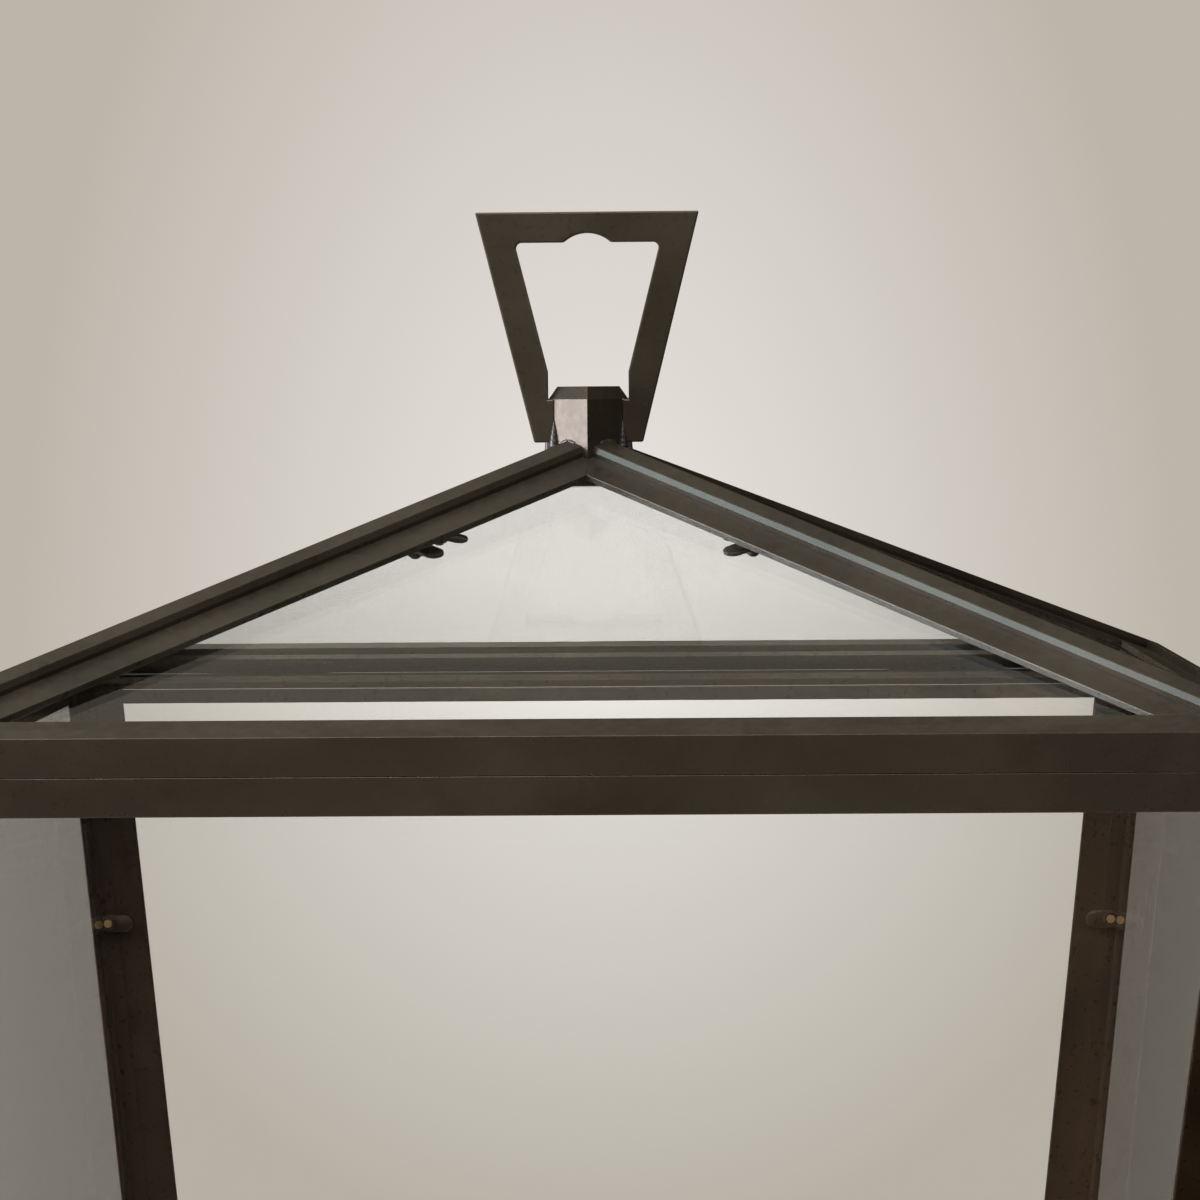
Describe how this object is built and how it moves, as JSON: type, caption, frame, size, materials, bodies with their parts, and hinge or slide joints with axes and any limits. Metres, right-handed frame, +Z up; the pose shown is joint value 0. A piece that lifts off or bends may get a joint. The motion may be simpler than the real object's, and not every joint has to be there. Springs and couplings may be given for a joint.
{
  "type": "post top lantern",
  "caption": "Tapered square glass lantern on a round post fitter, with a hinged hipped glass roof of stepped bars, a flat loop finial and a candle lampholder.",
  "frame": {"origin": "centre of the post fitter's open mouth, on the lantern's upright axis", "axes": "+Z up along the lantern's axis, -Y the front, +X the right, the roof's hinges at +Y"},
  "size_m": [0.356, 0.3623, 0.6511],
  "materials": {
    "bronze_paint": "aged dark bronze, satin",
    "clear_glass": "clear float glass",
    "brass_fittings": "aged brass",
    "steel_fittings": "plain steel",
    "ivory_sleeve": "matte ivory",
    "black_plastic": "matte black",
    "bulb_cap": "bright",
    "bulb_glass": "clear glass"
  },
  "bodies": {
    "lantern_body": {"post_fitter": "bronze_paint", "fitter_flange": "bronze_paint", "floor_plate": "bronze_paint", "fitter_bolts": "steel_fittings", "base_rails": "bronze_paint", "top_rails": "bronze_paint", "body_clip_studs": "brass_fittings", "lamp_stem": "brass_fittings", "stem_locknuts": "brass_fittings", "drip_cup": "brass_fittings", "candle_sleeve": "ivory_sleeve", "lampholder": "black_plastic", "bulb_cap": "bulb_cap", "bulb": "bulb_glass", "hinge_body_leaves": "bronze_paint", "hinge_pins": "brass_fittings", "corner_post_front_left": "bronze_paint", "corner_post_front_right": "bronze_paint", "corner_post_back_right": "bronze_paint", "corner_post_back_left": "bronze_paint", "body_pane_front": "clear_glass", "body_pane_right": "clear_glass", "body_pane_back": "clear_glass", "body_pane_left": "clear_glass"},
    "roof": {"finial_loop": "bronze_paint", "apex_boss": "bronze_paint", "apex_nut": "bronze_paint", "roof_clip_studs": "bronze_paint", "hinge_roof_leaves": "bronze_paint", "hip_rafter_front_left": "bronze_paint", "hip_rafter_front_right": "bronze_paint", "hip_rafter_back_right": "bronze_paint", "hip_rafter_back_left": "bronze_paint", "eave_rail_front": "bronze_paint", "roof_pane_front": "clear_glass", "eave_rail_right": "bronze_paint", "roof_pane_right": "clear_glass", "eave_rail_back": "bronze_paint", "roof_pane_back": "clear_glass", "eave_rail_left": "bronze_paint", "roof_pane_left": "clear_glass"},
    "roof_clip_front_a": {"roof_clip_front_a": "bronze_paint"},
    "roof_clip_front_b": {"roof_clip_front_b": "bronze_paint"},
    "roof_clip_right_a": {"roof_clip_right_a": "bronze_paint"},
    "roof_clip_right_b": {"roof_clip_right_b": "bronze_paint"},
    "roof_clip_back_a": {"roof_clip_back_a": "bronze_paint"},
    "roof_clip_back_b": {"roof_clip_back_b": "bronze_paint"},
    "roof_clip_left_a": {"roof_clip_left_a": "bronze_paint"},
    "roof_clip_left_b": {"roof_clip_left_b": "bronze_paint"},
    "body_clip_front_a": {"body_clip_front_a": "bronze_paint"},
    "body_clip_front_b": {"body_clip_front_b": "bronze_paint"},
    "body_clip_right_a": {"body_clip_right_a": "bronze_paint"},
    "body_clip_right_b": {"body_clip_right_b": "bronze_paint"},
    "body_clip_back_a": {"body_clip_back_a": "bronze_paint"},
    "body_clip_back_b": {"body_clip_back_b": "bronze_paint"},
    "body_clip_left_a": {"body_clip_left_a": "bronze_paint"},
    "body_clip_left_b": {"body_clip_left_b": "bronze_paint"},
    "clamp_screw_1": {"clamp_screw_1": "brass_fittings"},
    "clamp_screw_2": {"clamp_screw_2": "brass_fittings"},
    "clamp_screw_3": {"clamp_screw_3": "brass_fittings"}
  },
  "joints": [
    {"name": "roof_hinge", "type": "hinge", "parent": "lantern_body", "child": "roof", "pos_m": [0, 0.1813, 0.5085], "axis": [-1, 0, 0], "range_deg": [0, 200]},
    {"name": "roof_clip_front_a_turn", "type": "hinge", "parent": "roof", "child": "roof_clip_front_a", "pos_m": [-0.04562, -0.05075, 0.5582], "axis": [0, -0.3558, 0.9346], "continuous": true},
    {"name": "roof_clip_front_b_turn", "type": "hinge", "parent": "roof", "child": "roof_clip_front_b", "pos_m": [0.04562, -0.05075, 0.5582], "axis": [0, -0.3558, 0.9346], "continuous": true},
    {"name": "roof_clip_right_a_turn", "type": "hinge", "parent": "roof", "child": "roof_clip_right_a", "pos_m": [0.06459, -0.05937, 0.55293], "axis": [0.3558, 0, 0.9346], "continuous": true},
    {"name": "roof_clip_right_b_turn", "type": "hinge", "parent": "roof", "child": "roof_clip_right_b", "pos_m": [0.06459, 0.05937, 0.55293], "axis": [0.3558, 0, 0.9346], "continuous": true},
    {"name": "roof_clip_back_a_turn", "type": "hinge", "parent": "roof", "child": "roof_clip_back_a", "pos_m": [0.04562, 0.05075, 0.5582], "axis": [0, 0.3558, 0.9346], "continuous": true},
    {"name": "roof_clip_back_b_turn", "type": "hinge", "parent": "roof", "child": "roof_clip_back_b", "pos_m": [-0.04562, 0.05075, 0.5582], "axis": [0, 0.3558, 0.9346], "continuous": true},
    {"name": "roof_clip_left_a_turn", "type": "hinge", "parent": "roof", "child": "roof_clip_left_a", "pos_m": [-0.06459, 0.05937, 0.55293], "axis": [-0.3558, 0, 0.9346], "continuous": true},
    {"name": "roof_clip_left_b_turn", "type": "hinge", "parent": "roof", "child": "roof_clip_left_b", "pos_m": [-0.06459, -0.05937, 0.55293], "axis": [-0.3558, 0, 0.9346], "continuous": true},
    {"name": "body_clip_front_a_turn", "type": "hinge", "parent": "lantern_body", "child": "body_clip_front_a", "pos_m": [-0.16068, -0.16201, 0.43098], "axis": [0, -0.9936, -0.1132], "range_deg": [-90, 90]},
    {"name": "body_clip_front_b_turn", "type": "hinge", "parent": "lantern_body", "child": "body_clip_front_b", "pos_m": [0.16068, -0.16201, 0.43098], "axis": [0, -0.9936, -0.1132], "range_deg": [-90, 90]},
    {"name": "body_clip_right_a_turn", "type": "hinge", "parent": "lantern_body", "child": "body_clip_right_a", "pos_m": [0.14948, -0.14815, 0.32098], "axis": [0.9936, 0, -0.1132], "range_deg": [-90, 90]},
    {"name": "body_clip_right_b_turn", "type": "hinge", "parent": "lantern_body", "child": "body_clip_right_b", "pos_m": [0.14948, 0.14815, 0.32098], "axis": [0.9936, 0, -0.1132], "range_deg": [-90, 90]},
    {"name": "body_clip_back_a_turn", "type": "hinge", "parent": "lantern_body", "child": "body_clip_back_a", "pos_m": [0.16068, 0.16201, 0.43098], "axis": [0, 0.9936, -0.1132], "range_deg": [-90, 90]},
    {"name": "body_clip_back_b_turn", "type": "hinge", "parent": "lantern_body", "child": "body_clip_back_b", "pos_m": [-0.16068, 0.16201, 0.43098], "axis": [0, 0.9936, -0.1132], "range_deg": [-90, 90]},
    {"name": "body_clip_left_a_turn", "type": "hinge", "parent": "lantern_body", "child": "body_clip_left_a", "pos_m": [-0.14948, 0.14815, 0.32098], "axis": [-0.9936, 0, -0.1132], "range_deg": [-90, 90]},
    {"name": "body_clip_left_b_turn", "type": "hinge", "parent": "lantern_body", "child": "body_clip_left_b", "pos_m": [-0.14948, -0.14815, 0.32098], "axis": [-0.9936, 0, -0.1132], "range_deg": [-90, 90]},
    {"name": "clamp_screw_1_turn", "type": "hinge", "parent": "lantern_body", "child": "clamp_screw_1", "pos_m": [0, 0.0415, 0.036], "axis": [0, 1, 0], "continuous": true},
    {"name": "clamp_screw_2_turn", "type": "hinge", "parent": "lantern_body", "child": "clamp_screw_2", "pos_m": [-0.03594, -0.02075, 0.036], "axis": [-0.866, -0.5, 0], "continuous": true},
    {"name": "clamp_screw_3_turn", "type": "hinge", "parent": "lantern_body", "child": "clamp_screw_3", "pos_m": [0.03594, -0.02075, 0.036], "axis": [0.866, -0.5, 0], "continuous": true}
  ]
}
